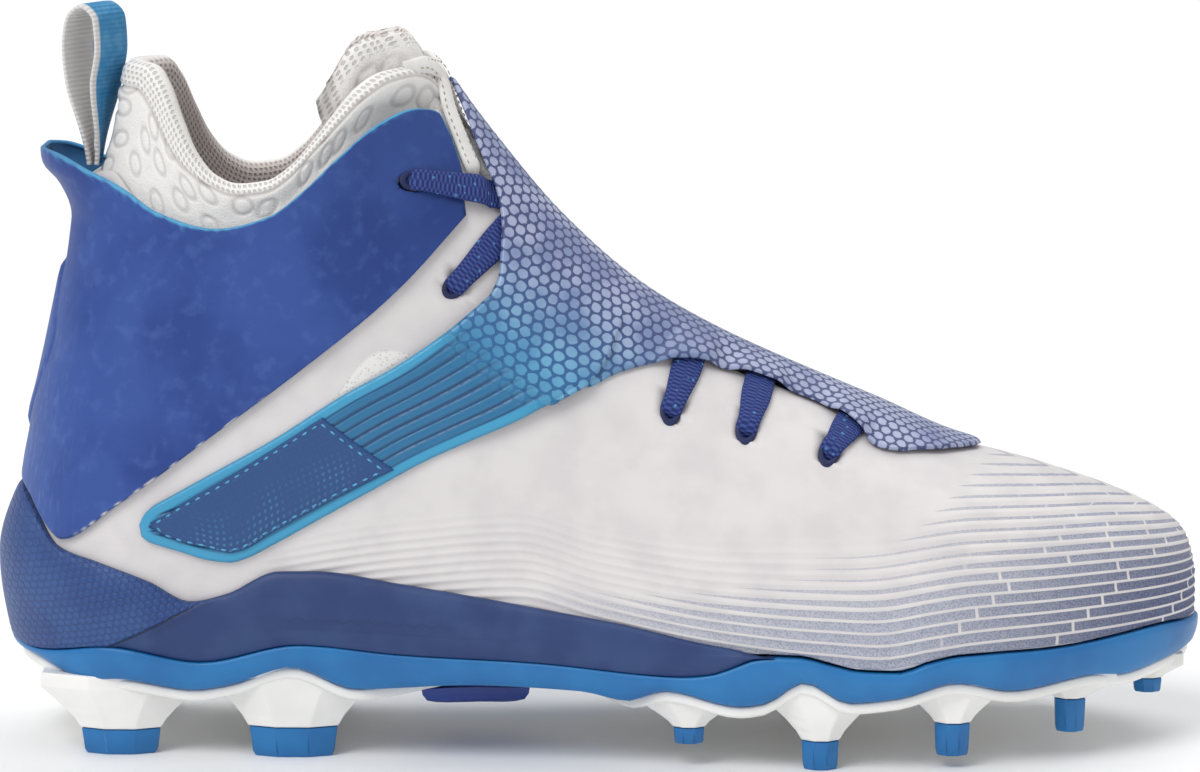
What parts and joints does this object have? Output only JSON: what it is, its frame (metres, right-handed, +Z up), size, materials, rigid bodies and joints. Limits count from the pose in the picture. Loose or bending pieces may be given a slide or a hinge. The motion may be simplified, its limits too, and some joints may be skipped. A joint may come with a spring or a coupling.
{
  "type": "american football cleat",
  "caption": "High-cut right cleat: hollow upper with padded collar and tongue, lace shroud running into side straps, and a studded plate sole.",
  "frame": {"origin": "centre of the bounding box's bottom face, on the floor that the long studs stand on", "axes": "+X towards the toe, -Y towards the wearer's outer side, +Z up"},
  "size_m": [0.2918, 0.0994, 0.1773],
  "materials": {
    "plate_white": "satin moulded",
    "azure_rubber": "satin moulded",
    "navy_foam": "matt moulded",
    "white_film": "matt film over mesh",
    "royal_film": "matt",
    "white_knit": "padded knit",
    "liner_foam": "matt",
    "shroud_film": "satin raised mesh",
    "label_film": "matt",
    "lace_cord": "woven",
    "ribbon": "woven"
  },
  "bodies": {
    "root": {"outsole_plate": "plate_white", "sole_rim": "azure_rubber", "arch_bar": "azure_rubber", "midsole": "navy_foam", "upper": "white_film", "quarter": "royal_film", "heel_panel": "royal_film", "collar": "white_knit", "tongue": "white_knit", "insole": "liner_foam", "shroud": "shroud_film", "strap_label": "label_film", "lace_cross": "lace_cord", "lace_bar_rear": "lace_cord", "lace_bar_middle": "lace_cord", "lace_bar_front": "lace_cord", "pull_loop": "ribbon", "stud_heel_rear_outer": "azure_rubber", "stud_heel_rear_inner": "azure_rubber", "stud_heel_front_outer": "azure_rubber", "stud_heel_front_inner": "azure_rubber", "stud_waist_outer": "azure_rubber", "stud_waist_inner": "azure_rubber", "stud_ball_outer": "azure_rubber", "stud_ball_inner": "azure_rubber", "stud_middle_outer": "azure_rubber", "stud_middle_inner": "azure_rubber", "stud_fore_outer": "azure_rubber", "stud_fore_inner": "azure_rubber", "stud_toe_outer": "azure_rubber", "stud_toe_inner": "azure_rubber"}
  },
  "joints": []
}
